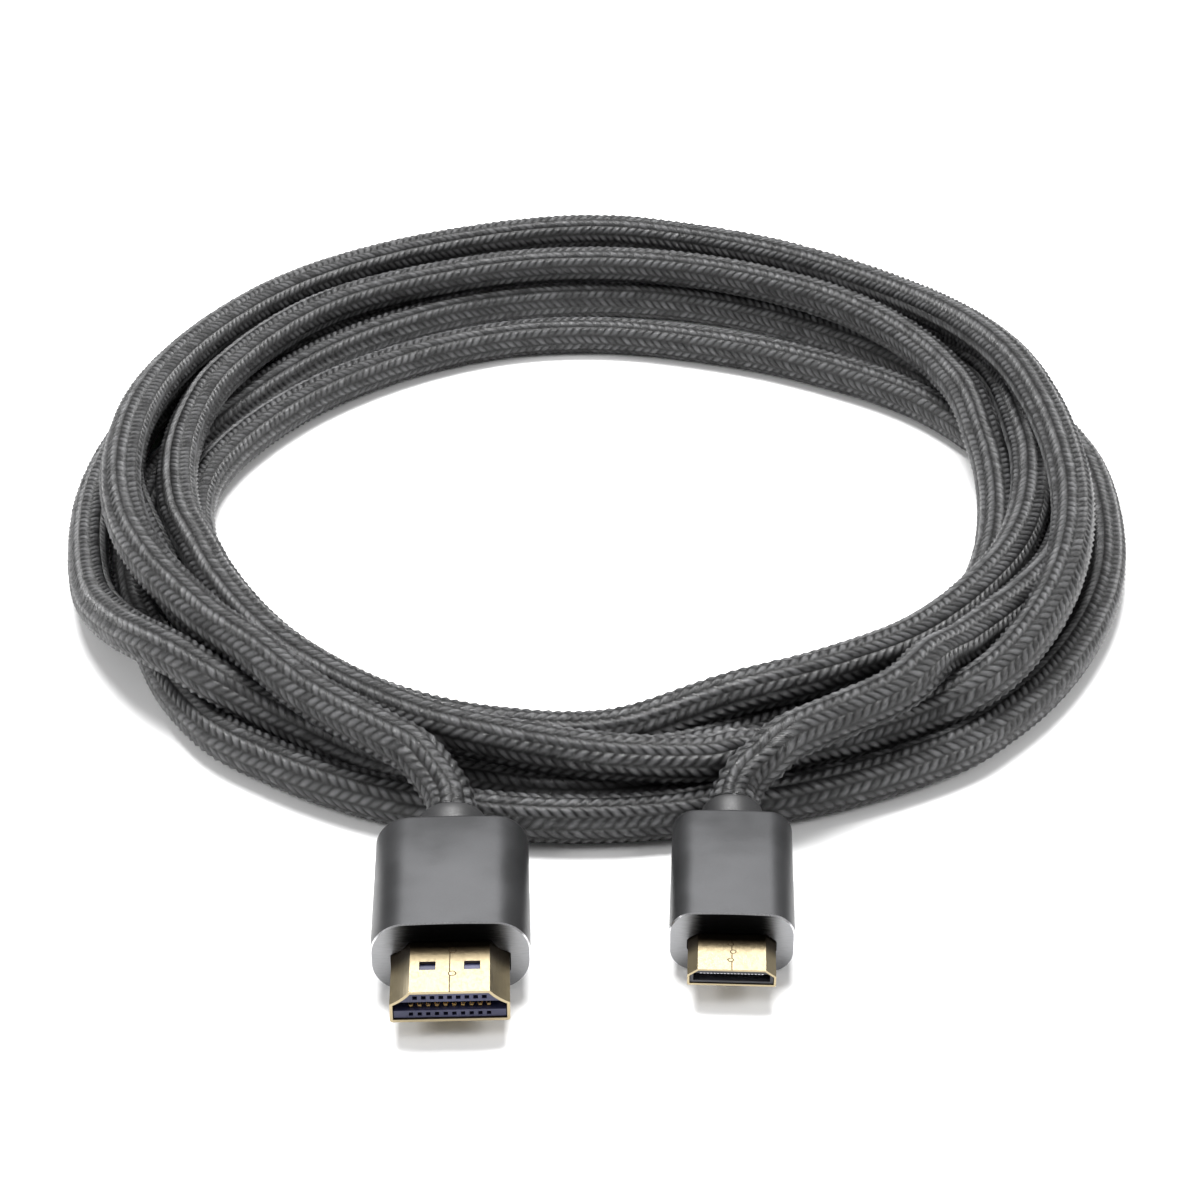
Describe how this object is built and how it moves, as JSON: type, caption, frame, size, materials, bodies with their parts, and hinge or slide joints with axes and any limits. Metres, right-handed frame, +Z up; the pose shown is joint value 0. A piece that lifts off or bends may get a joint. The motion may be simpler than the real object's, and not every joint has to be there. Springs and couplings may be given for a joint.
{
  "type": "braided audio and video cable",
  "caption": "Braided audio and video cable lying in a loose oval coil, with a full-size plug and a mini plug in grey metal housings.",
  "frame": {"origin": "on the floor, under the middle of the whole cable's own box", "axes": "+Z up; both plugs point towards -Y; +X to the right, seen from the plugs"},
  "size_m": [0.164, 0.229, 0.0179],
  "materials": {
    "grey_metal": "satin anodised",
    "gold_plate": "bright gold plate",
    "blue_black_plastic": "moulded",
    "black_plastic": "moulded",
    "contact_gold": "gold plate",
    "contact_silver": "bright",
    "dark_rubber": "matt moulded",
    "braid": "woven sleeve"
  },
  "bodies": {
    "root": {"type_a_housing": "grey_metal", "type_a_shell": "gold_plate", "type_a_insulator": "blue_black_plastic", "type_a_contact_lower_01": "contact_gold", "type_a_contact_lower_02": "contact_gold", "type_a_contact_lower_03": "contact_gold", "type_a_contact_lower_04": "contact_gold", "type_a_contact_lower_05": "contact_gold", "type_a_contact_lower_06": "contact_gold", "type_a_contact_lower_07": "contact_gold", "type_a_contact_lower_08": "contact_gold", "type_a_contact_lower_09": "contact_gold", "type_a_contact_lower_10": "contact_gold", "type_a_contact_upper_01": "contact_gold", "type_a_contact_upper_02": "contact_gold", "type_a_contact_upper_03": "contact_gold", "type_a_contact_upper_04": "contact_gold", "type_a_contact_upper_05": "contact_gold", "type_a_contact_upper_06": "contact_gold", "type_a_contact_upper_07": "contact_gold", "type_a_contact_upper_08": "contact_gold", "type_a_contact_upper_09": "contact_gold", "type_a_strain_relief": "dark_rubber", "mini_housing": "grey_metal", "mini_shell": "gold_plate", "mini_insulator": "black_plastic", "mini_contact_upper_01": "contact_silver", "mini_contact_upper_02": "contact_silver", "mini_contact_upper_03": "contact_silver", "mini_contact_upper_04": "contact_silver", "mini_contact_upper_05": "contact_silver", "mini_contact_upper_06": "contact_silver", "mini_contact_upper_07": "contact_silver", "mini_contact_upper_08": "contact_silver", "mini_contact_upper_09": "contact_silver", "mini_contact_upper_10": "contact_silver", "mini_contact_upper_11": "contact_silver", "mini_contact_upper_12": "contact_silver", "mini_contact_upper_13": "contact_silver", "mini_contact_upper_14": "contact_silver", "mini_contact_upper_15": "contact_silver", "mini_contact_upper_16": "contact_silver", "mini_contact_upper_17": "contact_silver", "mini_contact_upper_18": "contact_silver", "mini_contact_upper_19": "contact_silver", "mini_strain_relief": "dark_rubber", "cable_coil": "braid", "cable_lead_type_a": "braid", "cable_lead_mini": "braid"}
  },
  "joints": []
}
